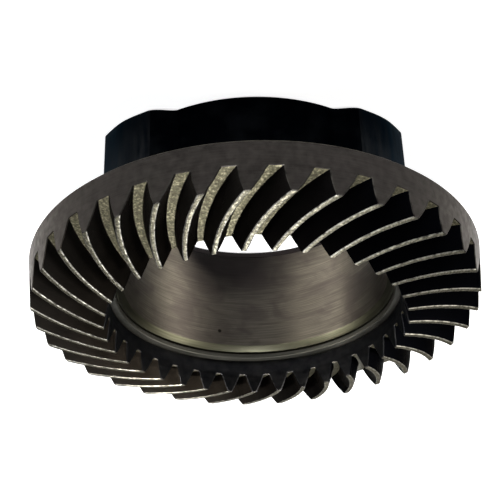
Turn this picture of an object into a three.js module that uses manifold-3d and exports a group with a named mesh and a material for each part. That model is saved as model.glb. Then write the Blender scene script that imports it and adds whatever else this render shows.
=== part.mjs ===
// A spiral bevel crown wheel on a lobed hub, turning on a plain sleeve in its bore.
// Millimetres. +Z is the axis, from the hub's rear face at z = 0 to the tooth tips.
// Angles are counted about +Z from the -Y direction.
import * as THREE from 'three';
import { mergeVertices } from 'three/addons/utils/BufferGeometryUtils.js';
import Module from 'manifold-3d';

const wasm = await Module();
wasm.setup();

const DEGREE = Math.PI / 180;
const RUN_GAP = 0.1;                // clearance between pieces that fit in each other
const ROUND_STEPS = 72;             // sides of a turned piece

// Teeth
const TOOTH_COUNT = 35;
const PITCH_ANGLE = (2 * Math.PI) / TOOTH_COUNT;
const TOOTH_PHASE = 0.8 * DEGREE;   // angle of one tooth's tip at the heel
const HEEL_RADIUS = 38;             // outer end of a tooth
const HEEL_TIP_Z = 25.95;
const HEEL_ROOT_Z = 21.9;
const TOE_RADIUS = 25.6;            // inner end of a tooth
const TOE_TIP_Z = 28.8;
const TOE_ROOT_RADIUS = 25;
const TOE_ROOT_Z = 25.6;
const HEEL_TIP_LAND = 0.98;         // width of the flat top of a tooth, along the circle
const TOE_TIP_LAND = 0.72;
const HEEL_ROOT_LAND = 2.3;         // width of the flat floor between two teeth
const TOE_ROOT_LAND = 1.15;
const HEEL_LEAN = 0.55;             // how far the floor lies behind the middle of its opening
const TOE_LEAN = 0.15;
const HEEL_CROWN = 0.18;            // how far a flank swells at half height
const TOE_CROWN = 0.06;
const CUTTER_RADIUS = 26.2;         // the tooth trace is an arc of this circle
const HEEL_SPIRAL = 39.5 * DEGREE;  // spiral angle at the heel
const ABOVE_TIP = 1.2;              // a cut runs to this many tooth heights, clear of the tip

// Rim and web of the wheel
const RIM_RADIUS = 38.7;            // at the back, where the rim is widest
const WHEEL_BACK_Z = 17.4;
const BACK_CHAMFER = 0.45;
const REGISTER_RADIUS = 26.15;      // bore that the hub's spigot is pressed into
const REGISTER_TOP_Z = 22.7;

// Hub. Its outline is the same in each quarter, mirrored, and the angles are counted from HUB_PHASE.
const HUB_RADIUS = 26.55;
const LOBE_RADIUS = 30;
const HUB_PHASE = -2.3 * DEGREE;
const SHOULDER_FOOT = 28 * DEGREE;  // the round hub ends and a lobe begins
const SHOULDER_TOP = 37.5 * DEGREE;
const SWELL_START = 34 * DEGREE;    // past the shoulder the lobe still rises a little
const SWELL_END = 50 * DEGREE;
const SHOULDER_SHARE = 0.72;        // share of the lobe's height that the shoulder rises
const FLANK_TOP = 56.5 * DEGREE;    // the lobe's steeper side
const FLANK_FOOT = 63 * DEGREE;
const HUB_CHAMFER = 0.4;
const SPIGOT_RADIUS = REGISTER_RADIUS - RUN_GAP;
const SHOULDER_Z = WHEEL_BACK_Z - RUN_GAP;
const SPIGOT_TOP_Z = 21.6;
const LIP_RADIUS = 22.9;            // rear lip that stops the sleeve
const LIP_HEIGHT = 1.2;

// Sleeve and thrust ring
const BORE_RADIUS = 22.7;
const SLEEVE_RADIUS = 24.25;
const SLEEVE_FRONT_Z = 21.5;
const SLEEVE_CHAMFER = 0.95;
const RING_INNER_RADIUS = 23.9;
const RING_EDGE = 0.15;             // broken edges of the ring

function steel(color, roughness) {
  return new THREE.MeshStandardMaterial({ color, roughness, metalness: 1 });
}
const gearSteel = steel(0x46423c, 0.5);
const blackSteel = steel(0x15171a, 0.55);
const turnedSteel = steel(0x6a645a, 0.35);
const ringSteel = steel(0x5a5a56, 0.4);

// A closed geometry as a manifold solid.
function toSolid(geometry) {
  const bare = geometry.index ? geometry.toNonIndexed() : geometry.clone();
  bare.deleteAttribute('normal');
  bare.deleteAttribute('uv');
  const merged = mergeVertices(bare, 1e-5);
  const vertProperties = new Float32Array(merged.attributes.position.array);
  const triVerts = new Uint32Array(merged.index.array);
  return new wasm.Manifold(new wasm.Mesh({ numProp: 3, vertProperties, triVerts }));
}

// A manifold solid as a geometry.
function toGeometry(solid) {
  const mesh = solid.getMesh();
  const geometry = new THREE.BufferGeometry();
  geometry.setAttribute('position', new THREE.BufferAttribute(new Float32Array(mesh.vertProperties), 3));
  geometry.setIndex(new THREE.BufferAttribute(new Uint32Array(mesh.triVerts), 1));
  geometry.computeVertexNormals();
  return geometry;
}

// A solid of revolution about +Z from [radius, z] points, listed anticlockwise with the axis on the left.
function turned(points, steps = ROUND_STEPS) {
  const profile = [...points, points[0]].map(([r, z]) => new THREE.Vector2(r, z));
  return new THREE.LatheGeometry(profile, steps).rotateX(Math.PI / 2);
}

const { lerp, smoothstep } = THREE.MathUtils;
const lengthwise = (radius) => (radius - TOE_RADIUS) / (HEEL_RADIUS - TOE_RADIUS);
const tipZ = (radius) => lerp(TOE_TIP_Z, HEEL_TIP_Z, lengthwise(radius));
const rootSlope = (HEEL_ROOT_Z - TOE_ROOT_Z) / (HEEL_RADIUS - TOE_ROOT_RADIUS);
const rootZ = (radius) => TOE_ROOT_Z + (radius - TOE_ROOT_RADIUS) * rootSlope;

// Angle about the axis of the tooth trace, an arc of the cutter's circle, from the heel inwards.
function traceAngle(radius) {
  const reach = Math.sqrt(HEEL_RADIUS ** 2 + CUTTER_RADIUS ** 2
    - 2 * HEEL_RADIUS * CUTTER_RADIUS * Math.sin(HEEL_SPIRAL));
  const toCentre = (r) => Math.acos((r ** 2 + reach ** 2 - CUTTER_RADIUS ** 2) / (2 * r * reach));
  return toCentre(radius) - toCentre(HEEL_RADIUS);
}

// One row of points across a tooth space, from its left lip down to the floor and up to its right lip.
function spaceSection(radius, middle) {
  const t = lengthwise(radius);
  const floor = lerp(TOE_ROOT_LAND, HEEL_ROOT_LAND, t) / 2;
  const mouth = (radius * PITCH_ANGLE - lerp(TOE_TIP_LAND, HEEL_TIP_LAND, t)) / 2;
  const lean = lerp(TOE_LEAN, HEEL_LEAN, t);
  const depth = tipZ(radius) - rootZ(radius);
  const heights = [ABOVE_TIP, 0.5, 0];
  const crown = lerp(TOE_CROWN, HEEL_CROWN, t);
  const halfWidth = (h) => lerp(floor, mouth, h) - crown * Math.sin(Math.PI * Math.min(h, 1));
  const point = (side, h) => {
    const across = side * halfWidth(h) - lean * (1 - h);
    const angle = middle + traceAngle(radius) + across / radius;
    return [radius * Math.sin(angle), -radius * Math.cos(angle), rootZ(radius) + depth * h];
  };
  const left = heights.map((h) => point(-1, h));
  const right = heights.map((h) => point(1, h)).reverse();
  return [...left, ...right];
}

// The solid that is cut away between two teeth, from inside the toe to outside the heel.
function toothSpace(middle) {
  const inner = TOE_ROOT_RADIUS - 0.8;
  const outer = RIM_RADIUS + 0.6;
  const stations = 6;
  const rows = [];
  for (let i = 0; i < stations; i += 1) {
    rows.push(spaceSection(lerp(inner, outer, i / (stations - 1)), middle));
  }
  const across = rows[0].length;
  const index = [];
  for (let i = 0; i < stations - 1; i += 1) {
    for (let j = 0; j < across; j += 1) {
      const a = i * across + j;
      const b = i * across + (j + 1) % across;
      index.push(a, b, a + across, b, b + across, a + across);
    }
  }
  const last = (stations - 1) * across;
  for (let j = 1; j < across - 1; j += 1) {
    index.push(0, j + 1, j, last, last + j, last + j + 1);
  }
  const geometry = new THREE.BufferGeometry();
  geometry.setAttribute('position', new THREE.Float32BufferAttribute(rows.flat(2), 3));
  geometry.setIndex(index);
  return toSolid(geometry);
}

// Blank turned to the face cone, the rim and the stepped bore, then cut with every tooth space.
function crownWheel() {
  let wheel = toSolid(turned([
    [REGISTER_RADIUS, WHEEL_BACK_Z],
    [RIM_RADIUS - BACK_CHAMFER, WHEEL_BACK_Z],
    [RIM_RADIUS, WHEEL_BACK_Z + BACK_CHAMFER],
    [HEEL_RADIUS, HEEL_TIP_Z],
    [TOE_RADIUS, TOE_TIP_Z],
    [TOE_ROOT_RADIUS, TOE_ROOT_Z],
    [TOE_ROOT_RADIUS, REGISTER_TOP_Z],
    [REGISTER_RADIUS, REGISTER_TOP_Z],
  ], TOOTH_COUNT * 2));
  for (let k = 0; k < TOOTH_COUNT; k += 1) {
    wheel = wheel.subtract(toothSpace(TOOTH_PHASE + (k + 0.5) * PITCH_ANGLE));
  }
  return toGeometry(wheel);
}

// Radius of the hub's outline: round, with a smooth lobe in each quarter.
function hubRadius(angle) {
  const turn = THREE.MathUtils.euclideanModulo(angle - HUB_PHASE + Math.PI / 2, Math.PI);
  const folded = Math.abs(turn - Math.PI / 2);
  const shoulder = SHOULDER_SHARE * smoothstep(folded, SHOULDER_FOOT, SHOULDER_TOP);
  const swell = (1 - SHOULDER_SHARE) * smoothstep(folded, SWELL_START, SWELL_END);
  const flank = 1 - smoothstep(folded, FLANK_TOP, FLANK_FOOT);
  return lerp(HUB_RADIUS, LOBE_RADIUS, (shoulder + swell) * flank);
}

// Lobed body, spigot for the wheel, and a bore with a lip at the rear.
function lobedHub() {
  const steps = 144;
  const outline = [];
  for (let i = 0; i < steps; i += 1) {
    const angle = (2 * Math.PI * i) / steps;
    const radius = hubRadius(angle);
    outline.push(new THREE.Vector2(radius * Math.sin(angle), -radius * Math.cos(angle)));
  }
  const body = new THREE.ExtrudeGeometry(new THREE.Shape(outline), {
    depth: SHOULDER_Z - 2 * HUB_CHAMFER,
    bevelThickness: HUB_CHAMFER,
    bevelSize: HUB_CHAMFER,
    bevelOffset: -HUB_CHAMFER,
    bevelSegments: 1,
  }).translate(0, 0, HUB_CHAMFER);
  const middle = SHOULDER_Z / 2;
  const spigot = turned([
    [0, middle],
    [SPIGOT_RADIUS, middle],
    [SPIGOT_RADIUS, SPIGOT_TOP_Z],
    [0, SPIGOT_TOP_Z],
  ]);
  const seat = SLEEVE_RADIUS + RUN_GAP;
  const beyond = 1;
  const bore = turned([
    [0, -beyond],
    [LIP_RADIUS, -beyond],
    [LIP_RADIUS, LIP_HEIGHT],
    [seat, LIP_HEIGHT],
    [seat, SPIGOT_TOP_Z + beyond],
    [0, SPIGOT_TOP_Z + beyond],
  ]);
  return toGeometry(toSolid(body).add(toSolid(spigot)).subtract(toSolid(bore)));
}

// Plain sleeve that the wheel turns on, with a lead-in chamfer at the front of its bore.
function boreSleeve() {
  return turned([
    [BORE_RADIUS, LIP_HEIGHT + RUN_GAP],
    [SLEEVE_RADIUS, LIP_HEIGHT + RUN_GAP],
    [SLEEVE_RADIUS, SLEEVE_FRONT_Z],
    [BORE_RADIUS + SLEEVE_CHAMFER, SLEEVE_FRONT_Z],
    [BORE_RADIUS, SLEEVE_FRONT_Z - SLEEVE_CHAMFER],
  ]);
}

// Flat ring held between the hub's spigot and the wheel, over the front end of the sleeve.
function thrustRing() {
  const outer = REGISTER_RADIUS - RUN_GAP;
  const bottom = SPIGOT_TOP_Z + RUN_GAP;
  const top = REGISTER_TOP_Z - RUN_GAP;
  return turned([
    [RING_INNER_RADIUS + RING_EDGE, bottom],
    [outer, bottom],
    [outer, top],
    [RING_INNER_RADIUS + RING_EDGE, top],
    [RING_INNER_RADIUS, top - RING_EDGE],
    [RING_INNER_RADIUS, bottom + RING_EDGE],
  ]);
}

function piece(name, geometry, material) {
  const mesh = new THREE.Mesh(geometry, material);
  mesh.name = name;
  return mesh;
}

const crownGear = new THREE.Group();
crownGear.add(
  piece('crown_wheel', crownWheel(), gearSteel),
  piece('lobed_hub', lobedHub(), blackSteel),
  piece('bore_sleeve', boreSleeve(), turnedSteel),
  piece('thrust_ring', thrustRing(), ringSteel),
);

export default crownGear;
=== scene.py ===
"""Looks of a spiral bevel crown wheel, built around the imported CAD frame.

The four CAD pieces are replaced by finely divided ones of the same sizes: curved tooth flanks with
root fillets and broken edges, a smooth lobed hub, a brushed bore sleeve and a thrust ring.
Lengths are millimetres until a mesh is made. Angles are counted about +Z from -Y towards +X.
"""

import math

import bpy
import numpy as np
from mathutils import Matrix, Vector


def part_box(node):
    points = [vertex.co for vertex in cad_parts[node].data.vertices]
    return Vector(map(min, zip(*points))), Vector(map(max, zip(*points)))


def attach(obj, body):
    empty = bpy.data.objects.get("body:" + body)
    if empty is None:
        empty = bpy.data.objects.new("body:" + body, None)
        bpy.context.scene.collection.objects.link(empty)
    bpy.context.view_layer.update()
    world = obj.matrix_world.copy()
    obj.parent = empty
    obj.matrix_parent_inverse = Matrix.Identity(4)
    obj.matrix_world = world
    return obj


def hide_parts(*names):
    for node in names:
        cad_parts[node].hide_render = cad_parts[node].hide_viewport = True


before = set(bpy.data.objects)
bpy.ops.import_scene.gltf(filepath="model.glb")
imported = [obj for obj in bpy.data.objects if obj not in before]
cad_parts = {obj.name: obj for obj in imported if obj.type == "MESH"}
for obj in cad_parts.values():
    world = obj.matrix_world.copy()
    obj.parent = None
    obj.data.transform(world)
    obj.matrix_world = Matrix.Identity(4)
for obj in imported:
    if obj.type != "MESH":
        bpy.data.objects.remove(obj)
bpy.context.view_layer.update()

MM = 0.001
DEGREE = math.pi / 180


def half_width(node):
    """The smaller half width of a CAD node's box, in millimetres."""
    low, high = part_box(node)
    return min(high.x - low.x, high.y - low.y) / 2 / MM


def height(node, end):
    """The lowest (0) or highest (1) point of a CAD node, in millimetres."""
    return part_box(node)[end].z / MM


# Wheel
TOOTH_COUNT = 35
PITCH_ANGLE = 2 * math.pi / TOOTH_COUNT
TOOTH_PHASE = 0.8 * DEGREE
RIM_RADIUS = half_width("crown_wheel")
WHEEL_BACK = height("crown_wheel", 0)
TOE_TIP_Z = height("crown_wheel", 1)
BACK_CHAMFER = 0.45
HEEL_RADIUS = RIM_RADIUS - 0.7      # outer end of a tooth, at its tip
HEEL_TIP_Z = TOE_TIP_Z - 2.85
HEEL_ROOT_Z = HEEL_TIP_Z - 4.05
TOE_RADIUS = 25.6                   # inner end of a tooth, at its tip
TOE_ROOT_RADIUS = 25.0
TOE_ROOT_Z = TOE_TIP_Z - 3.2
TIP_LAND = (0.72, 0.98)             # width of a tooth's flat top, at the toe and at the heel
ROOT_LAND = (1.15, 2.3)             # width of the floor between two teeth
LEAN = (0.15, 0.55)                 # how far the floor lies behind the middle of its opening
FLANK_CROWN = (0.06, 0.18)          # how far a flank swells at half height, at the toe and at the heel
CUTTER_RADIUS = 26.2                # the tooth trace is an arc of this circle
HEEL_SPIRAL = 39.5 * DEGREE
TIP_BREAK = 0.13                    # broken edges along the tip
END_BREAK = 0.13                    # broken edges of the heel and the toe
ROOT_FILLET = 0.13
REGISTER_RADIUS = 26.15             # the hub's spigot sits in it
REGISTER_TOP_Z = 22.7
REGISTER_EDGE = 0.3                 # broken edge at the back of the register
SEAT_EDGE = 0.15                    # broken edge above the thrust ring

# Hub
HUB_RADIUS = 26.55
LOBE_RADIUS = 30.0
HUB_PHASE = -2.3 * DEGREE
SHOULDER = (28, 37.5)               # degrees from the hub's phase: the shoulder's foot and top
SWELL = (34, 50)                    # past the shoulder the lobe still rises a little
LOBE_FLANK = (56.5, 63)             # the lobe's steeper side
SHOULDER_SHARE = 0.72               # share of the lobe's height that the shoulder rises
SPIGOT_RADIUS = 26.05
SHOULDER_Z = WHEEL_BACK - 0.1
SPIGOT_TOP_Z = height("lobed_hub", 1)
SEAT_RADIUS = 24.35
LIP_RADIUS = 22.9
LIP_HEIGHT = 1.2
HUB_EDGE = 0.4

# Sleeve and thrust ring
BORE_RADIUS = 22.7
SLEEVE_RADIUS = half_width("bore_sleeve")
SLEEVE_CHAMFER = 0.95
RING_INNER_RADIUS = 23.9
RING_RADIUS = half_width("thrust_ring")
RING_EDGE = 0.15
RING_OUTER_EDGE = 0.45
REAR_SHADE_PLACE = (5, 22.1, 1)          # middle of the painted shade on the bore's wall
PIT_PLACE = (7.01, 21.59, 17.75)


# ---------------------------------------------------------------- shapes

def lerp(a, b, t):
    return a + (b - a) * t


def smoothstep(x, low, high):
    t = np.clip((x - low) / (high - low), 0, 1)
    return t * t * (3 - 2 * t)


def around(radius, angle, z):
    """Points at these cylindrical places, in millimetres."""
    radius, angle, z = np.broadcast_arrays(radius, angle, z)
    return np.stack([radius * np.sin(angle), -radius * np.cos(angle), z], axis=-1)


def grid_piece(name, points, materials, face_material, sharp_angle=32 * DEGREE):
    """A closed piece from points[row, column], a grid that joins up with itself both ways.
    Rows run anticlockwise round the section and columns run with the angle."""
    rows, columns, _ = points.shape
    here = np.arange(rows * columns).reshape(rows, columns)
    beside = np.roll(here, -1, axis=1)
    quads = np.stack([here, beside, np.roll(beside, -1, axis=0), np.roll(here, -1, axis=0)], axis=-1)
    mesh = bpy.data.meshes.new(name)
    mesh.from_pydata((points.reshape(-1, 3) * MM).tolist(), [], quads.reshape(-1, 4).tolist())
    for material in materials:
        mesh.materials.append(material)
    mesh.polygons.foreach_set("material_index", face_material.astype(np.int32).ravel())
    mesh.shade_smooth()
    mesh.set_sharp_from_angle(angle=sharp_angle)
    mesh.validate()
    piece = bpy.data.objects.new(name, mesh)
    bpy.context.scene.collection.objects.link(piece)
    return piece


def rounded_outline(corners, longest=1.6, steps=4):
    """A closed outline with each corner (x, y, size) cut back by size and rounded, and its long
    sides divided."""
    outline = []
    count = len(corners)
    for i, (x, y, size) in enumerate(corners):
        corner = np.array([x, y], float)
        before = np.array(corners[i - 1][:2], float) - corner
        after = np.array(corners[(i + 1) % count][:2], float) - corner
        start = corner + before / np.linalg.norm(before) * size
        end = corner + after / np.linalg.norm(after) * size
        for t in np.linspace(0, 1, steps + 1) if size else [0]:
            outline.append(lerp(lerp(start, corner, t), lerp(corner, end, t), t))
    divided = []
    for a, b in zip(outline, outline[1:] + outline[:1]):
        pieces = max(1, math.ceil(np.linalg.norm(b - a) / longest))
        divided += [lerp(a, b, k / pieces) for k in range(pieces)]
    return np.array(divided)


def turned_piece(name, corners, materials, material_at, columns=288):
    """A turned piece from its rounded section. material_at gives the material's number from the
    radius and height of a face."""
    section = rounded_outline(corners)
    angle = np.arange(columns) * 2 * math.pi / columns
    points = around(section[:, :1], angle, section[:, 1:])
    middle = (section + np.roll(section, -1, axis=0)) / 2
    numbers = np.array([material_at(r, z) for r, z in middle])
    return grid_piece(name, points, materials, np.repeat(numbers[:, None], columns, axis=1))


# ---------------------------------------------------------------- teeth

def lengthwise(radius):
    return (radius - TOE_RADIUS) / (HEEL_RADIUS - TOE_RADIUS)


def tip_z(radius):
    return lerp(TOE_TIP_Z, HEEL_TIP_Z, lengthwise(radius))


def root_z(radius):
    share = (radius - TOE_ROOT_RADIUS) / (HEEL_RADIUS - TOE_ROOT_RADIUS)
    return lerp(TOE_ROOT_Z, HEEL_ROOT_Z, share)


def trace_angle(radius):
    """Angle of the tooth trace, an arc of the cutter's circle, from the heel inwards."""
    reach = math.sqrt(HEEL_RADIUS ** 2 + CUTTER_RADIUS ** 2
                      - 2 * HEEL_RADIUS * CUTTER_RADIUS * math.sin(HEEL_SPIRAL))

    def to_centre(r):
        return np.arccos((r ** 2 + reach ** 2 - CUTTER_RADIUS ** 2) / (2 * r * reach))

    return to_centre(radius) - to_centre(HEEL_RADIUS)


def bezier(start, corner, end, t):
    return [lerp(lerp(a, b, t), lerp(b, c, t), t) for a, b, c in zip(start, corner, end)]


LAND_STEPS, TIP_STEPS, FLANK_STEPS, FILLET_STEPS, FLOOR_STEPS = 2, 2, 9, 4, 4
TIP, EDGE, FLANK, FLOOR, RIM, INNER, DULL = range(7)


def half_space(radius, side):
    """Across and height of one side of a tooth space at this radius, from the middle of the
    tooth's top down to the floor, with broken tip and root fillet."""
    share = lengthwise(radius)
    floor = lerp(*ROOT_LAND, share) / 2
    mouth = (radius * PITCH_ANGLE - lerp(*TIP_LAND, share)) / 2
    lean = lerp(*LEAN, share)
    swell = lerp(*FLANK_CROWN, share)
    depth = tip_z(radius) - root_z(radius)

    def flank(h):
        width = lerp(floor, mouth, h) - swell * np.sin(np.pi * h)
        return side * width - lean * (1 - h), depth * h

    tip_corner = flank(1)
    tip_start = tip_corner[0] + side * TIP_BREAK, depth
    floor_corner = flank(0)
    floor_end = floor_corner[0] - side * ROOT_FILLET, 0 * depth
    high = 1 - TIP_BREAK / depth
    low = ROOT_FILLET / depth
    middle_of_tip = side * radius * PITCH_ANGLE / 2
    row = [(lerp(middle_of_tip, tip_start[0], k / LAND_STEPS), depth) for k in range(LAND_STEPS + 1)]
    row += [bezier(tip_start, tip_corner, flank(high), k / TIP_STEPS) for k in range(1, TIP_STEPS)]
    row += [flank(lerp(high, low, k / FLANK_STEPS)) for k in range(FLANK_STEPS + 1)]
    row += [bezier(flank(low), floor_corner, floor_end, k / FILLET_STEPS)
            for k in range(1, FILLET_STEPS + 1)]
    return row


def half_materials():
    return [TIP] * LAND_STEPS + [EDGE] * TIP_STEPS + [FLANK] * (FLANK_STEPS + FILLET_STEPS)


def pitch_profile(radius):
    """Across and height of a whole pitch at each radius: two arrays with a row for each radius."""
    left = half_space(radius, -1)
    right = half_space(radius, 1)
    floor = [(lerp(left[-1][0], right[-1][0], k / FLOOR_STEPS), 0 * radius)
             for k in range(1, FLOOR_STEPS)]
    row = left + floor + right[:0:-1]
    across = np.stack([np.broadcast_to(u, radius.shape) for u, _ in row], axis=1)
    rise = np.stack([np.broadcast_to(v, radius.shape) for _, v in row], axis=1)
    return across, rise


def pitch_materials():
    return np.array(half_materials() + [FLOOR] * FLOOR_STEPS + half_materials()[::-1])


def into_metal(across, rise, distance):
    """The pitch profile moved into the metal by this distance, square to itself."""
    step_u = np.roll(across, -1) - np.roll(across, 1)
    step_v = np.roll(rise, -1) - np.roll(rise, 1)
    step_u[0] = step_u[1]
    step_u[-1] = step_u[-2]
    step_v[0] = 0
    length = np.hypot(step_u, step_v)
    return across + distance * step_v / length, rise - distance * step_u / length


def rim_radius_at(z):
    """Radius of the rim's slightly conical outer face."""
    low = WHEEL_BACK + BACK_CHAMFER
    return lerp(RIM_RADIUS, HEEL_RADIUS, (z - low) / (HEEL_TIP_Z - low))


def toe_radius_at(z):
    """Radius of the wheel's inner wall, which leans outwards between the teeth's inner ends."""
    share = np.clip((z - TOE_ROOT_Z) / (TOE_TIP_Z - TOE_ROOT_Z), 0, 1)
    return lerp(TOE_ROOT_RADIUS, TOE_RADIUS, share)


def crown_wheel(materials):
    stations, back_rows, rim_rows, toe_rows = 26, 7, 9, 7
    spaces = TOOTH_PHASE + (np.arange(TOOTH_COUNT) + 0.5) * PITCH_ANGLE
    rows, kinds = [], []
    per_pitch = pitch_materials()

    def add(radius, across, z, kind):
        """One row of points round the wheel: the same pitch again at each tooth space."""
        turn = np.broadcast_to(across / radius, z.shape)
        angle = (spaces[:, None] + turn[None, :]).ravel()
        tiled = [np.tile(np.broadcast_to(value, z.shape), TOOTH_COUNT) for value in (radius, z)]
        rows.append(around(tiled[0], angle, tiled[1]))
        kinds.append(np.broadcast_to(kind, per_pitch.shape))

    # The tooth surface, from the heel to the toe. Each point keeps its place in the pitch.
    _, heel_rise = pitch_profile(np.array([HEEL_RADIUS]))
    _, toe_rise = pitch_profile(np.array([TOE_RADIUS]))
    outer = rim_radius_at(root_z(HEEL_RADIUS) + heel_rise[0])
    inner = toe_radius_at(root_z(TOE_RADIUS) + toe_rise[0])
    surface = []
    for t in np.linspace(0, 1, stations):
        radius = lerp(outer - END_BREAK, inner + END_BREAK, t)
        across, rise = (np.diagonal(value) for value in pitch_profile(radius))
        surface.append((radius, across, rise))

    # Rim, from the back up to the heel's broken edge.
    radius, across, rise = surface[0]
    edge_u, edge_v = into_metal(across, rise, END_BREAK)
    edge_z = root_z(radius) + edge_v
    edge_radius = rim_radius_at(edge_z)
    heel_turn = trace_angle(radius)
    flat = np.ones_like(radius)
    outer_back = RIM_RADIUS - BACK_CHAMFER
    low_rim = WHEEL_BACK + BACK_CHAMFER
    for t in np.linspace(0, 1, back_rows)[:-1]:
        ring = lerp(REGISTER_RADIUS + REGISTER_EDGE, outer_back, t) * flat
        add(ring, (edge_u / radius + heel_turn) * ring, WHEEL_BACK * flat, INNER)
    add(outer_back * flat, (edge_u / radius + heel_turn) * outer_back, WHEEL_BACK * flat, DULL)
    first_half = np.arange(len(per_pitch)) < len(per_pitch) / 2
    heel_kinds = np.where((per_pitch == FLANK) & first_half | (per_pitch == TIP), DULL, RIM)
    for t in np.linspace(0, 1, rim_rows):
        z = lerp(low_rim, edge_z, t)
        ring = rim_radius_at(z)
        add(ring, (edge_u / radius + heel_turn) * ring, z, RIM if t < 1 else heel_kinds)

    # Teeth.
    toe_kinds = np.where(np.isin(per_pitch, (TIP, FLOOR)), DULL, INNER)
    for i, (radius, across, rise) in enumerate(surface):
        kind = per_pitch if i < stations - 1 else toe_kinds
        add(radius, across + trace_angle(radius) * radius, root_z(radius) + rise, kind)

    # Inner wall, from the toe's broken edge down to the seat of the thrust ring.
    radius, across, rise = surface[-1]
    edge_u, edge_v = into_metal(across, rise, END_BREAK)
    toe_turn = edge_u / radius + trace_angle(radius)
    top = root_z(radius) + edge_v
    for t in np.linspace(0, 1, toe_rows)[:-1]:
        z = lerp(top, REGISTER_TOP_Z + SEAT_EDGE, t)
        ring = toe_radius_at(z)
        add(ring, toe_turn * ring, z, INNER)
    seat = [
        (TOE_ROOT_RADIUS, REGISTER_TOP_Z + SEAT_EDGE),
        (TOE_ROOT_RADIUS + SEAT_EDGE, REGISTER_TOP_Z),
        (REGISTER_RADIUS, REGISTER_TOP_Z),
        (REGISTER_RADIUS, lerp(WHEEL_BACK, REGISTER_TOP_Z, 0.5)),
        (REGISTER_RADIUS, WHEEL_BACK + REGISTER_EDGE),
    ]
    for k, (ring, z) in enumerate(seat):
        add(ring * flat, lerp(toe_turn, heel_turn, k / len(seat)) * ring, z * flat, INNER)
    points = np.array(rows)
    return grid_piece("crown_wheel_teeth", points, materials, np.tile(np.array(kinds), TOOTH_COUNT))


# ---------------------------------------------------------------- hub, sleeve and ring

def hub_radius(angle):
    """Outline of the hub: round, with a smooth lobe in each quarter."""
    folded = np.abs(np.mod(angle - HUB_PHASE + math.pi / 2, math.pi) - math.pi / 2) / DEGREE
    shoulder = SHOULDER_SHARE * smoothstep(folded, *SHOULDER)
    swell = (1 - SHOULDER_SHARE) * smoothstep(folded, *SWELL)
    flank = 1 - smoothstep(folded, *LOBE_FLANK)
    return lerp(HUB_RADIUS, LOBE_RADIUS, (shoulder + swell) * flank)


def lobed_hub(materials):
    """The outline's radius is scaled in where the section is at the lobed body's outside."""
    columns = 720
    angle = np.arange(columns) * 2 * math.pi / columns
    section = rounded_outline([
        (LIP_RADIUS, 0, 0.25),
        (LOBE_RADIUS, 0, HUB_EDGE),
        (LOBE_RADIUS, SHOULDER_Z, HUB_EDGE),
        (SPIGOT_RADIUS, SHOULDER_Z, 0.05),
        (SPIGOT_RADIUS, SPIGOT_TOP_Z, 0.2),
        (SEAT_RADIUS, SPIGOT_TOP_Z, 0.15),
        (SEAT_RADIUS, LIP_HEIGHT, 0.05),
        (LIP_RADIUS, LIP_HEIGHT, 0.1),
    ])
    radius, z = section[:, :1], section[:, 1:]
    body = np.where(z <= SHOULDER_Z, smoothstep(radius, SPIGOT_RADIUS, LOBE_RADIUS - HUB_EDGE), 0)
    narrowed = radius - body * (LOBE_RADIUS - hub_radius(angle))
    points = around(narrowed, angle, z)
    on_lobe = hub_radius(angle + math.pi / columns) > lerp(HUB_RADIUS, LOBE_RADIUS, 0.7)
    numbers = np.tile(on_lobe.astype(int), (len(section), 1))
    numbers[(radius[:, 0] < SEAT_RADIUS) & (z[:, 0] <= LIP_HEIGHT)] = 2
    return grid_piece("lobed_hub_body", points, materials, numbers, 40 * DEGREE)


def bore_sleeve(materials):
    bottom, top = height("bore_sleeve", 0), height("bore_sleeve", 1)
    corners = [
        (BORE_RADIUS, bottom, 0.15),
        (SLEEVE_RADIUS, bottom, 0.1),
        (SLEEVE_RADIUS, top, 0.08),
        (BORE_RADIUS + SLEEVE_CHAMFER, top, 0.05),
        (BORE_RADIUS, top - SLEEVE_CHAMFER, 0.08),
    ]

    def material_at(radius, z):
        return 1 if z > top - SLEEVE_CHAMFER else 0

    return turned_piece("bore_sleeve_turned", corners, materials, material_at)


def thrust_ring(materials):
    bottom, top = height("thrust_ring", 0), height("thrust_ring", 1)
    corners = [
        (RING_INNER_RADIUS, bottom, RING_EDGE),
        (RING_RADIUS, bottom, RING_EDGE),
        (RING_RADIUS, top, RING_OUTER_EDGE),
        (RING_INNER_RADIUS, top, RING_EDGE),
    ]
    return turned_piece("thrust_ring_turned", corners, materials, lambda radius, z: 0)


# ---------------------------------------------------------------- finishes

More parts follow.
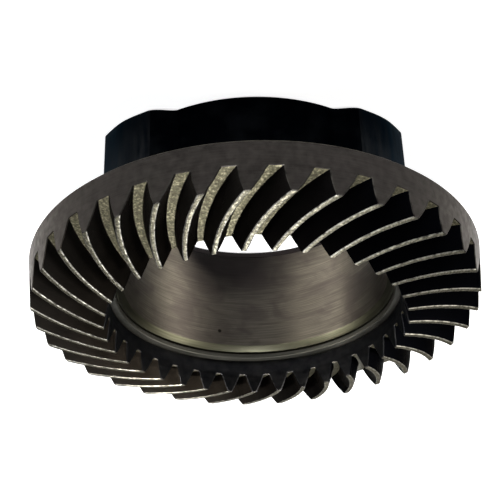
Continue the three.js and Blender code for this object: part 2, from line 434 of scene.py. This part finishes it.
class Finish:
    """A material's node tree, with short calls for the nodes that the finishes share."""

    def __init__(self, name, metallic, roughness, grazing=(1, 1, 1)):
        self.material = bpy.data.materials.new(name)
        self.material.use_nodes = True
        self.nodes = self.material.node_tree.nodes
        self.links = self.material.node_tree.links
        self.shader = self.nodes["Principled BSDF"]
        self.set("Metallic", metallic)
        self.set("Roughness", roughness)
        self.set("Specular Tint", (*grazing, 1))
        self.place = self.nodes.new("ShaderNodeTexCoord").outputs["Object"]

    def set(self, socket, value):
        self.shader.inputs[socket].default_value = value

    def feed(self, socket, source):
        self.links.new(source, self.shader.inputs[socket])

    def stretched(self, scale):
        """Object coordinates times a scale for each axis, in waves per millimetre."""
        node = self.nodes.new("ShaderNodeMapping")
        node.inputs["Scale"].default_value = [s / MM for s in scale]
        self.links.new(self.place, node.inputs["Vector"])
        return node.outputs["Vector"]

    def noise(self, scale, detail=3.0, distortion=0.0):
        """Noise with this many waves per millimetre, one number or one for each axis."""
        scale = scale if hasattr(scale, "__len__") else (scale,) * 3
        node = self.nodes.new("ShaderNodeTexNoise")
        node.inputs["Scale"].default_value = 1.0
        node.inputs["Detail"].default_value = detail
        node.inputs["Distortion"].default_value = distortion
        self.links.new(self.stretched(scale), node.inputs["Vector"])
        return node.outputs["Fac"]

    def along(self, axis):
        """Object coordinate along x, y or z, in millimetres."""
        node = self.nodes.new("ShaderNodeSeparateXYZ")
        self.links.new(self.stretched((1, 1, 1)), node.inputs["Vector"])
        return node.outputs[axis]

    def distance(self, point, scale=(1, 1, 1)):
        """Distance from a point, in millimetres. Scale leaves out the axes where it is 0."""
        node = self.nodes.new("ShaderNodeVectorMath")
        node.operation = "DISTANCE"
        node.inputs[1].default_value = point
        self.links.new(self.stretched(scale), node.inputs[0])
        return node.outputs["Value"]

    def ramp(self, source, stops):
        """Colours at places from 0 to 1 along source."""
        node = self.nodes.new("ShaderNodeValToRGB")
        elements = node.color_ramp.elements
        while len(elements) < len(stops):
            elements.new(0.5)
        for element, (place, colour) in zip(elements, stops):
            element.position = place
            element.color = (*colour, 1)
        self.links.new(source, node.inputs["Fac"])
        return node.outputs["Color"]

    def spread(self, source, low, high, start=0.3, end=0.7):
        """A number from low to high as source goes from start to end."""
        node = self.nodes.new("ShaderNodeMapRange")
        for socket, value in zip(("From Min", "From Max", "To Min", "To Max"), (start, end, low, high)):
            node.inputs[socket].default_value = value
        self.links.new(source, node.inputs["Value"])
        return node.outputs["Result"]

    def mix(self, amount, below, above, blend="MIX"):
        """below, with above over it by amount. Either may be a colour or a node's output."""
        node = self.nodes.new("ShaderNodeMix")
        node.data_type = "RGBA"
        node.blend_type = blend
        colours = [s for s in node.inputs if s.type == "RGBA"]
        for socket, value in zip(colours, (below, above)):
            if isinstance(value, tuple):
                socket.default_value = (*value, 1)
            else:
                self.links.new(value, socket)
        if isinstance(amount, float):
            node.inputs["Factor"].default_value = amount
        else:
            self.links.new(amount, node.inputs["Factor"])
        return [s for s in node.outputs if s.type == "RGBA"][0]

    def bump(self, source, depth, over=None):
        """Relief of this depth in millimetres, on top of an earlier bump."""
        node = self.nodes.new("ShaderNodeBump")
        node.inputs["Strength"].default_value = 1.0
        node.inputs["Distance"].default_value = depth * MM
        self.links.new(source, node.inputs["Height"])
        if over is not None:
            self.links.new(over, node.inputs["Normal"])
        return node.outputs["Normal"]


def worn_tip():
    """Tops of the teeth: lapped steel with a fine grain and rubbed patches."""
    finish = Finish("worn_tip", 1.0, 0.4, grazing=(0.6, 0.58, 0.54))
    grain = finish.noise(2.6, detail=7)
    patches = finish.noise(0.5, detail=2)
    colour = finish.ramp(grain, [(0.32, (0.042, 0.04, 0.03)), (0.52, (0.115, 0.108, 0.08)),
                                 (0.7, (0.36, 0.34, 0.265))])
    colour = finish.mix(finish.spread(patches, 0.0, 0.5), colour, (0.065, 0.061, 0.045))
    finish.feed("Base Color", colour)
    finish.feed("Roughness", finish.spread(grain, 0.5, 0.34))
    finish.feed("Normal", finish.bump(grain, 0.025))
    return finish.material


def olive_floor():
    """Floors between the teeth: cut steel with an olive tint."""
    finish = Finish("olive_floor", 1.0, 0.45)
    grain = finish.noise(2.4, detail=5)
    patches = finish.noise(0.3)
    colour = finish.ramp(grain, [(0.3, (0.03, 0.028, 0.018)), (0.55, (0.1, 0.093, 0.06)),
                                 (0.72, (0.3, 0.275, 0.19))])
    colour = finish.mix(finish.spread(patches, 0.0, 0.5), colour, (0.055, 0.05, 0.034))
    finish.feed("Base Color", colour)
    finish.feed("Roughness", finish.spread(grain, 0.6, 0.4))
    finish.feed("Normal", finish.bump(grain, 0.02))
    return finish.material


def bright_edge():
    """Broken edges, rubbed bright."""
    finish = Finish("bright_edge", 1.0, 0.32, grazing=(0.55, 0.54, 0.5))
    wear = finish.noise(1.3, detail=5)
    colour = finish.ramp(wear, [(0.35, (0.035, 0.033, 0.029)), (0.7, (0.32, 0.31, 0.275))])
    finish.feed("Base Color", colour)
    finish.feed("Roughness", finish.spread(wear, 0.55, 0.36))
    return finish.material


def dull_edge():
    """Broken edges of the rim and of the ends of the teeth, only slightly rubbed."""
    finish = Finish("dull_edge", 1.0, 0.5, grazing=(0.5, 0.49, 0.46))
    wear = finish.noise(0.9, detail=4)
    colour = finish.ramp(wear, [(0.35, (0.014, 0.013, 0.012)), (0.7, (0.055, 0.052, 0.046))])
    finish.feed("Base Color", colour)
    return finish.material


def black_flank():
    """Tooth flanks: dark hardened steel, finely scratched. Painted light and shade: brownish on the +X
    side, lighter towards the heel, and near black on the other side."""
    finish = Finish("black_flank", 1.0, 0.6, grazing=(0.35, 0.34, 0.32))
    haze = finish.noise(0.25, detail=3)
    scratches = finish.noise((0.6, 0.6, 7.0), detail=3)
    brown = finish.ramp(haze, [(0.35, (0.0048, 0.004, 0.0032)), (0.7, (0.0088, 0.0073, 0.006))])
    # Painted light: the flanks lighten towards the heel, 29 to 38 mm from the axis, and stay darker
    # towards the toe as painted shade.
    heel = finish.spread(finish.distance((0, 0, 0), (1, 1, 0)), 0.0, 0.5, start=29, end=38)
    colour = finish.mix(heel, brown, (0.014, 0.0128, 0.0115))
    # Painted shade: the flanks on the -X side are darkened to near black, while the +X side keeps its
    # brown.
    side = finish.spread(finish.along("X"), 1.0, 0.0, start=-18, end=8)
    finish.feed("Base Color", finish.mix(side, colour, (0.001, 0.0011, 0.0016)))
    finish.feed("Roughness", finish.spread(scratches, 0.56, 0.72))
    finish.feed("Normal", finish.bump(scratches, 0.006))
    return finish.material


def rim_steel():
    """Outside of the wheel: dark warm grey, finely pitted, with faint turning marks."""
    finish = Finish("rim_steel", 1.0, 0.45, grazing=(0.8, 0.77, 0.74))
    mottle = finish.noise(0.9, detail=5)
    clouds = finish.noise(0.12, detail=2)
    turning = finish.noise((0.15, 0.15, 5.5), detail=3)
    colour = finish.ramp(mottle, [(0.3, (0.011, 0.0098, 0.0089)), (0.7, (0.021, 0.019, 0.017))])
    colour = finish.mix(finish.spread(clouds, 0.0, 0.5), colour, (0.019, 0.016, 0.0155))
    colour = finish.mix(finish.spread(turning, 0.0, 0.45), colour, (0.027, 0.0255, 0.023))
    finish.feed("Base Color", colour)
    finish.feed("Roughness", finish.spread(mottle, 0.52, 0.36))
    finish.feed("Normal", finish.bump(turning, 0.006, finish.bump(mottle, 0.012)))
    return finish.material


def dark_inner():
    """Inner wall and back of the wheel: dark, slightly blue."""
    finish = Finish("dark_inner", 1.0, 0.4, grazing=(0.5, 0.52, 0.55))
    mottle = finish.noise(0.7, detail=4)
    turning = finish.noise((0.15, 0.15, 5.0), detail=3)
    colour = finish.ramp(mottle, [(0.3, (0.007, 0.0075, 0.009)), (0.7, (0.017, 0.017, 0.018))])
    finish.feed("Base Color", colour)
    finish.feed("Roughness", finish.spread(turning, 0.32, 0.5))
    finish.feed("Normal", finish.bump(turning, 0.008))
    return finish.material


def black_hub():
    """Hub: blackened steel with faint marks along the axis."""
    finish = Finish("black_hub", 1.0, 0.42, grazing=(0.3, 0.32, 0.36))
    marks = finish.noise((1.6, 1.6, 0.05), detail=4)
    haze = finish.noise(0.18, detail=4)
    colour = finish.ramp(haze, [(0.45, (0.00035, 0.0005, 0.0008)), (0.7, (0.0018, 0.0022, 0.0026))])
    finish.feed("Base Color", colour)
    finish.feed("Roughness", finish.spread(marks, 0.34, 0.52))
    finish.feed("Normal", finish.bump(marks, 0.006, finish.bump(haze, 0.02)))
    return finish.material


def lobe_steel():
    """Outsides of the hub's lobes: dark blue-grey with rubbed marks, kept lighter than the hub as
    painted light from the sides, and darkened towards the rear face as painted shade.
    """
    finish = Finish("lobe_steel", 1.0, 0.44, grazing=(0.5, 0.53, 0.56))
    marks = finish.noise((1.1, 1.1, 0.12), detail=5)
    haze = finish.noise(0.22, detail=5)
    # Painted light: this colour is kept lighter than the hub's, for the light the lobes catch from the
    # sides.
    colour = finish.ramp(haze, [(0.38, (0.0018, 0.0022, 0.0028)), (0.7, (0.0062, 0.007, 0.008))])
    colour = finish.mix(finish.spread(marks, 0.0, 0.7, start=0.4), colour, (0.014, 0.0145, 0.0148))
    # Painted shade: the lobes darken towards the hub's rear face, from 11 mm down to 2 mm.
    rear = finish.spread(finish.along("Z"), 0.8, 0.0, start=2, end=11)
    finish.feed("Base Color", finish.mix(rear, colour, (0.0007, 0.0009, 0.0014)))
    finish.feed("Roughness", finish.spread(marks, 0.36, 0.52))
    finish.feed("Normal", finish.bump(marks, 0.006, finish.bump(haze, 0.02)))
    return finish.material


def lip_steel():
    """Rear lip of the bore: turned, purplish grey."""
    finish = Finish("lip_steel", 1.0, 0.5)
    lines = finish.noise((0.14, 0.14, 6.5), detail=4)
    colour = finish.ramp(lines, [(0.3, (0.009, 0.0078, 0.0078)), (0.7, (0.016, 0.0135, 0.0135))])
    finish.feed("Base Color", colour)
    return finish.material


def brushed(finish, strength):
    """Fine lines round the axis, with the gloss drawn out across them."""
    lines = finish.noise((0.14, 0.14, 6.5), detail=5)
    bands = finish.noise((0.11, 0.11, 1.7), detail=3)
    tangent = finish.nodes.new("ShaderNodeTangent")
    tangent.direction_type = "RADIAL"
    tangent.axis = "Z"
    finish.feed("Tangent", tangent.outputs["Tangent"])
    finish.set("Anisotropic", strength)
    finish.set("Anisotropic Rotation", 0.25)
    return lines, bands


def brushed_bore():
    """Running face of the sleeve: brown-grey steel, brushed round the bore, with painted shade making
    it darker at its rear end, and with one small pit."""
    finish = Finish("brushed_bore", 1.0, 0.6)
    lines, bands = brushed(finish, 0.85)
    stain = finish.noise((0.13, 0.13, 0.24), detail=6, distortion=0.8)
    colour = finish.ramp(lines, [(0.25, (0.027, 0.0242, 0.0202)), (0.75, (0.061, 0.0552, 0.0458))])
    colour = finish.mix(finish.spread(bands, 0.0, 0.4), colour, (0.024, 0.0218, 0.0195))
    stained = finish.spread(stain, 0.0, 0.75, start=0.44, end=0.62)
    colour = finish.mix(stained, colour, (0.025, 0.0212, 0.0195))
    # Painted shade: a dark area near the bore's rear end, round the middle given above.
    rear = finish.spread(finish.distance(REAR_SHADE_PLACE, (1, 1, 1.3)), 0.92, 0.0, start=6, end=15)
    colour = finish.mix(rear, colour, (0.0085, 0.0073, 0.0074))
    pit = finish.spread(finish.distance(PIT_PLACE), 1.0, 0.0, start=0.25, end=0.4)
    finish.feed("Base Color", finish.mix(pit, colour, (0.004, 0.0035, 0.003)))
    finish.feed("Roughness", finish.spread(lines, 0.66, 0.54))
    finish.feed("Normal", finish.bump(lines, 0.004))
    return finish.material


def olive_chamfer():
    """Lead-in chamfer of the sleeve: freshly turned, with an olive tint."""
    finish = Finish("olive_chamfer", 1.0, 0.38)
    lines, bands = brushed(finish, 0.2)
    colour = finish.ramp(lines, [(0.3, (0.013, 0.0128, 0.0085)), (0.7, (0.024, 0.0235, 0.017))])
    finish.feed("Base Color", colour)
    finish.feed("Roughness", finish.spread(bands, 0.34, 0.48))
    return finish.material


def ring_steel():
    """Thrust ring: dull grey steel."""
    finish = Finish("ring_steel", 1.0, 0.52)
    lines, bands = brushed(finish, 0.4)
    colour = finish.ramp(lines, [(0.3, (0.021, 0.021, 0.018)), (0.7, (0.049, 0.048, 0.043))])
    finish.feed("Base Color", colour)
    finish.feed("Roughness", finish.spread(bands, 0.46, 0.6))
    return finish.material


# ---------------------------------------------------------------- stage

CAMERA_PLACE = Vector((0, -181.21, 122.08)) * MM
CAMERA_PITCH = -31.01 * DEGREE
CAMERA_YAW = -0.22 * DEGREE
CAMERA_ROLL = 178.12 * DEGREE       # the photograph hangs the wheel teeth down
CAMERA_LENS = 86.71

WHEEL_MIDDLE = Vector((0, 0, 0.02))
BEAM_WIDTH = 6.5 * DEGREE
BEAM_ELEVATION = 35                 # degrees
BEAM_TARGET_Z = 10.0                # height of the lit place on the bore wall
BEAM_DISTANCE = 0.5                 # metres
BEAM_SOURCE_RADIUS = 0.015          # metres; a larger source spills on the teeth


def camera():
    pitched = Vector((0, math.cos(CAMERA_PITCH), math.sin(CAMERA_PITCH)))
    forward = Matrix.Rotation(CAMERA_YAW, 3, "Z") @ pitched
    level = forward.cross(Vector((0, 0, 1))).normalized()
    upright = level.cross(forward)
    right = level * math.cos(CAMERA_ROLL) + upright * math.sin(CAMERA_ROLL)
    up = upright * math.cos(CAMERA_ROLL) - level * math.sin(CAMERA_ROLL)
    data = bpy.data.cameras.new("camera")
    data.lens = CAMERA_LENS
    data.clip_start = 0.01
    data.dof.use_dof = False
    viewer = bpy.data.objects.new("camera", data)
    turn = Matrix((right, up, -forward)).transposed().to_4x4()
    viewer.matrix_world = Matrix.Translation(CAMERA_PLACE) @ turn
    bpy.context.scene.collection.objects.link(viewer)
    bpy.context.scene.camera = viewer


def direction(azimuth, elevation):
    """Unit vector from the wheel, in degrees. Azimuth is counted as the angles of the wheel are."""
    a, e = azimuth * DEGREE, elevation * DEGREE
    return Vector((math.sin(a) * math.cos(e), -math.cos(a) * math.cos(e), math.sin(e)))


def soft_light(name, azimuth, elevation, distance, size, power, colour=(1, 1, 1)):
    """An area light that faces the wheel."""
    data = bpy.data.lights.new(name, "AREA")
    data.shape = "DISK"
    data.size = size
    data.energy = power
    data.color = colour
    lamp = bpy.data.objects.new(name, data)
    towards = direction(azimuth, elevation)
    lamp.location = WHEEL_MIDDLE + towards * distance
    lamp.rotation_euler = towards.to_track_quat("Z", "Y").to_euler()
    bpy.context.scene.collection.objects.link(lamp)


def bore_light(name, azimuth, power):
    """A narrow warm beam over the teeth and into the bore. The wall shines where it halves the
    angle between this light and the viewer."""
    data = bpy.data.lights.new(name, "SPOT")
    data.spot_size = BEAM_WIDTH
    data.spot_blend = 1.0
    data.shadow_soft_size = BEAM_SOURCE_RADIUS
    data.energy = power
    data.color = (1, 0.95, 0.84)
    lamp = bpy.data.objects.new(name, data)
    towards = direction(azimuth, BEAM_ELEVATION)
    lit = Vector(around(BORE_RADIUS, math.pi + azimuth * DEGREE / 2, BEAM_TARGET_Z)) * MM
    lamp.location = lit + towards * BEAM_DISTANCE
    lamp.rotation_euler = towards.to_track_quat("Z", "Y").to_euler()
    bpy.context.scene.collection.objects.link(lamp)


def floor():
    """A plain pale floor just under the wheel. It glows a little, so that no shadow on it is dark."""
    half = 12.0
    top = -0.2 * MM
    mesh = bpy.data.meshes.new("floor")
    corners = [(-half, -half, top), (half, -half, top), (half, half, top), (-half, half, top)]
    mesh.from_pydata(corners, [], [(0, 1, 2, 3)])
    finish = Finish("pale_floor", 0.0, 0.9)
    finish.set("Base Color", (0.55, 0.55, 0.55, 1))
    finish.set("Emission Color", (1, 1, 1, 1))
    finish.set("Emission Strength", 0.78)
    mesh.materials.append(finish.material)
    ground = bpy.data.objects.new("floor", mesh)
    bpy.context.scene.collection.objects.link(ground)


def studio():
    scene = bpy.context.scene
    scene.view_settings.view_transform = "Standard"
    world = bpy.data.worlds.new("studio")
    world.use_nodes = True
    world.node_tree.nodes["Background"].inputs["Color"].default_value = (0.1, 0.1, 0.1, 1)
    scene.world = world
    soft_light("top_light", 0, 76, 0.8, 0.2, 9.3)
    soft_light("back_light", 180, 58, 0.8, 0.3, 4)
    soft_light("left_light", 75, 38, 0.8, 0.25, 3.6, (0.96, 0.98, 1))
    soft_light("right_light", -75, 38, 0.8, 0.25, 3.6, (1, 0.99, 0.97))
    bore_light("left_beam", 78, 30)
    bore_light("front_beam", 46, 19)
    bore_light("right_beam", -79, 38)


camera()
floor()
studio()

tooth_finishes = [worn_tip(), bright_edge(), black_flank(), olive_floor(), rim_steel(), dark_inner(),
                  dull_edge()]
wheel = crown_wheel(tooth_finishes)
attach(wheel, "wheel")
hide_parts("crown_wheel")

hub = lobed_hub([black_hub(), lobe_steel(), lip_steel()])
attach(hub, "wheel")
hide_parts("lobed_hub")

ring = thrust_ring([ring_steel()])
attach(ring, "wheel")
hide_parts("thrust_ring")

sleeve = bore_sleeve([brushed_bore(), olive_chamfer()])
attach(sleeve, "sleeve")
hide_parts("bore_sleeve")

bpy.context.view_layer.update()
